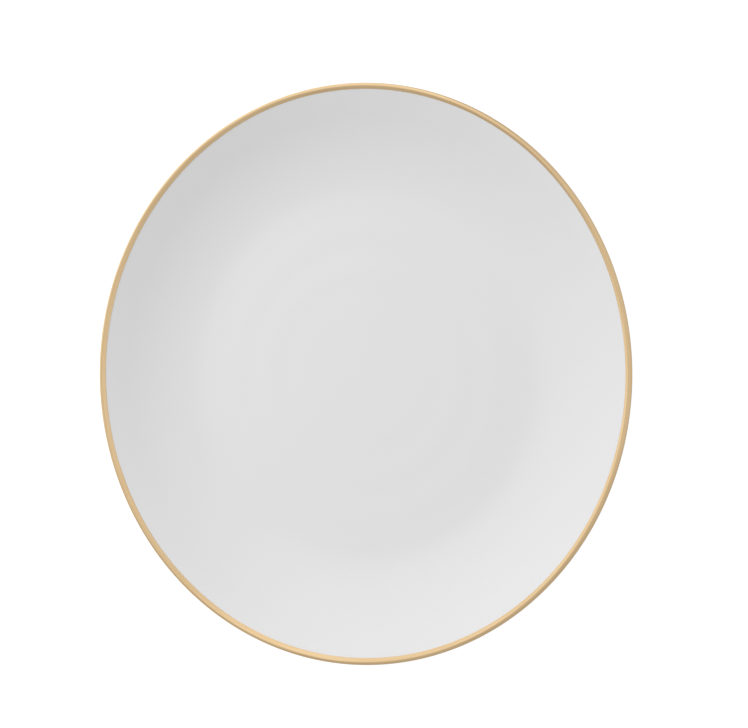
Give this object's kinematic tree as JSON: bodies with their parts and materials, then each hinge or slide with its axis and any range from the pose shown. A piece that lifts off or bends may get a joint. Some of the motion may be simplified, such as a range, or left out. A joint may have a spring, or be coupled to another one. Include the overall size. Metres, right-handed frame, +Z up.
{
  "type": "dinner plate",
  "caption": "Round coupe dinner plate in glazed white porcelain, with a flat well, a smoothly upswept wall, a foot ring and a thin gilt line over the lip.",
  "frame": {"origin": "centre of the circle that the foot ring stands on, on the plate's axis", "axes": "+Z up along the plate's axis, so the eating side faces +Z; the plate is round, so +X and +Y are any two directions square to each other in the plane that it stands on"},
  "size_m": [0.27, 0.27, 0.024],
  "materials": {
    "bisque": "matte",
    "glaze": "gloss",
    "gold": "polished"
  },
  "bodies": {
    "root": {"porcelain_body": "bisque", "face_glaze": "glaze", "back_glaze": "glaze", "recess_glaze": "glaze", "gold_band": "gold"}
  },
  "joints": []
}
